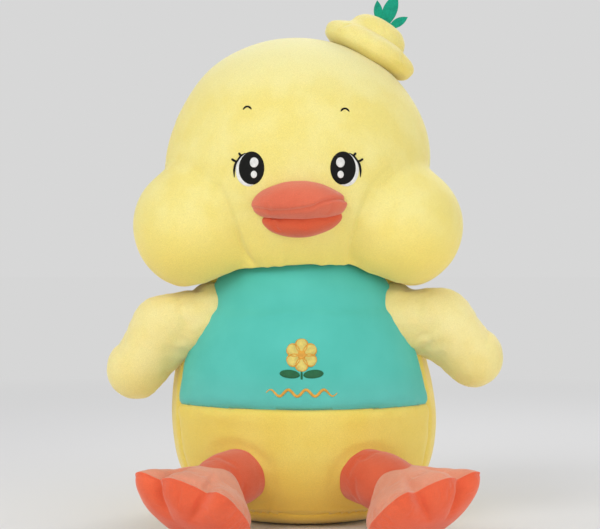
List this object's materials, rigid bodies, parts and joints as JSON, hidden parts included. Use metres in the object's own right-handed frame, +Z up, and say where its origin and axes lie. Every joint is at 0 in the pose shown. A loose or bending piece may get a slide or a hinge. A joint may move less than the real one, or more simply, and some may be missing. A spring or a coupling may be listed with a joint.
{
  "type": "plush duck",
  "caption": "Seated stuffed duck with a big round head, puffy cheeks, wide bill, small wings, webbed feet, a knit shirt and a small bun on the crown.",
  "frame": {"origin": "middle of the flat seat face that the duck sits on", "axes": "+Z up through the head, -Y the way the duck faces, +X the duck's left side"},
  "size_m": [0.3859, 0.3376, 0.5216],
  "materials": {
    "yellow_plush": "soft short-pile plush, matt with a faint sheen",
    "mint_shirt": "smooth stretch knit, matt with a faint sheen",
    "coral_plush": "soft short-pile plush, matt with a faint sheen",
    "teal_felt": "matt felt",
    "gold_floss": "satin-stitch embroidery thread",
    "green_floss": "satin-stitch embroidery thread",
    "black_floss": "satin-stitch embroidery thread",
    "white_floss": "satin-stitch embroidery thread",
    "stuffing": "loose white polyester fibre",
    "seam_tape": "folded seam allowance with cotton tape"
  },
  "bodies": {
    "torso": {"torso_stuffing": "stuffing", "shirt_panel": "mint_shirt", "belly_panel": "yellow_plush", "back_panel": "yellow_plush", "seat_panel": "yellow_plush", "flower_patch": "gold_floss", "leaf_patch": "green_floss", "wave_stitch": "gold_floss"},
    "neck_seam": {"neck_seam_tape": "seam_tape"},
    "head": {"head_stuffing": "stuffing", "face_panel": "yellow_plush", "head_back_panel": "yellow_plush", "cheek_right_panel": "yellow_plush", "cheek_left_panel": "yellow_plush", "eye_right_pupil": "black_floss", "eye_right_white": "white_floss", "eye_right_glint_large": "white_floss", "eye_right_glint_small": "white_floss", "eye_right_lashes": "black_floss", "eye_left_pupil": "black_floss", "eye_left_white": "white_floss", "eye_left_glint_large": "white_floss", "eye_left_glint_small": "white_floss", "eye_left_lashes": "black_floss", "brow_right": "black_floss", "brow_left": "black_floss", "beak_upper_cover": "coral_plush", "beak_upper_stuffing": "stuffing", "beak_lower_cover": "coral_plush", "beak_lower_stuffing": "stuffing", "bun_brim_cover": "yellow_plush", "bun_cap_cover": "yellow_plush", "bun_stuffing": "stuffing"},
    "leaves": {"leaf_crown": "teal_felt"},
    "shoulder_right_seam": {"shoulder_right_seam_tape": "seam_tape"},
    "wing_right": {"wing_right_front_panel": "yellow_plush", "wing_right_back_panel": "yellow_plush", "wing_right_stuffing": "stuffing"},
    "leg_right": {"leg_right_cover": "coral_plush", "leg_right_stuffing": "stuffing"},
    "foot_right": {"foot_right_top_panel": "coral_plush", "foot_right_sole_panel": "coral_plush", "foot_right_stuffing": "stuffing"},
    "shoulder_left_seam": {"shoulder_left_seam_tape": "seam_tape"},
    "wing_left": {"wing_left_front_panel": "yellow_plush", "wing_left_back_panel": "yellow_plush", "wing_left_stuffing": "stuffing"},
    "leg_left": {"leg_left_cover": "coral_plush", "leg_left_stuffing": "stuffing"},
    "foot_left": {"foot_left_top_panel": "coral_plush", "foot_left_sole_panel": "coral_plush", "foot_left_stuffing": "stuffing"}
  },
  "joints": [
    {"name": "neck_turn", "type": "hinge", "parent": "torso", "child": "neck_seam", "pos_m": [0, 0, 0.185], "axis": [0, 0, 1], "range_deg": [-6, 6], "stiffness_Nm_per_rad": 6},
    {"name": "neck_nod", "type": "hinge", "parent": "neck_seam", "child": "head", "pos_m": [0, 0, 0.185], "axis": [1, 0, 0], "range_deg": [-8, 3], "stiffness_Nm_per_rad": 12},
    {"name": "wing_right_swing", "type": "hinge", "parent": "torso", "child": "shoulder_right_seam", "pos_m": [-0.085, -0.033, 0.2], "axis": [0, 0, 1], "range_deg": [-10, 10], "stiffness_Nm_per_rad": 1.5},
    {"name": "wing_right_flap", "type": "hinge", "parent": "shoulder_right_seam", "child": "wing_right", "pos_m": [-0.085, -0.033, 0.2], "axis": [0, 1, 0], "range_deg": [-8, 6], "stiffness_Nm_per_rad": 1.5},
    {"name": "wing_left_swing", "type": "hinge", "parent": "torso", "child": "shoulder_left_seam", "pos_m": [0.085, -0.033, 0.2], "axis": [0, 0, 1], "range_deg": [-10, 10], "stiffness_Nm_per_rad": 1.5},
    {"name": "wing_left_flap", "type": "hinge", "parent": "shoulder_left_seam", "child": "wing_left", "pos_m": [0.085, -0.033, 0.2], "axis": [0, -1, 0], "range_deg": [-10, 2], "stiffness_Nm_per_rad": 1.5},
    {"name": "leg_right_raise", "type": "hinge", "parent": "torso", "child": "leg_right", "pos_m": [-0.055, -0.088, 0.052], "axis": [-1, 0, 0], "range_deg": [-4, 18], "stiffness_Nm_per_rad": 1.5},
    {"name": "foot_right_flex", "type": "hinge", "parent": "leg_right", "child": "foot_right", "pos_m": [-0.08715, -0.15801, 0.04568], "axis": [1, 0, 0], "range_deg": [-8, 9], "stiffness_Nm_per_rad": 1},
    {"name": "leg_left_raise", "type": "hinge", "parent": "torso", "child": "leg_left", "pos_m": [0.055, -0.088, 0.052], "axis": [-1, 0, 0], "range_deg": [-4, 18], "stiffness_Nm_per_rad": 1.5},
    {"name": "foot_left_flex", "type": "hinge", "parent": "leg_left", "child": "foot_left", "pos_m": [0.09715, -0.15889, 0.04568], "axis": [1, 0, 0], "range_deg": [-8, 9], "stiffness_Nm_per_rad": 1},
    {"name": "leaf_flop", "type": "hinge", "parent": "head", "child": "leaves", "pos_m": [0.08215, -0.008, 0.49197], "axis": [0.866, 0, -0.5], "range_deg": [-20, 20], "stiffness_Nm_per_rad": 0.02}
  ]
}
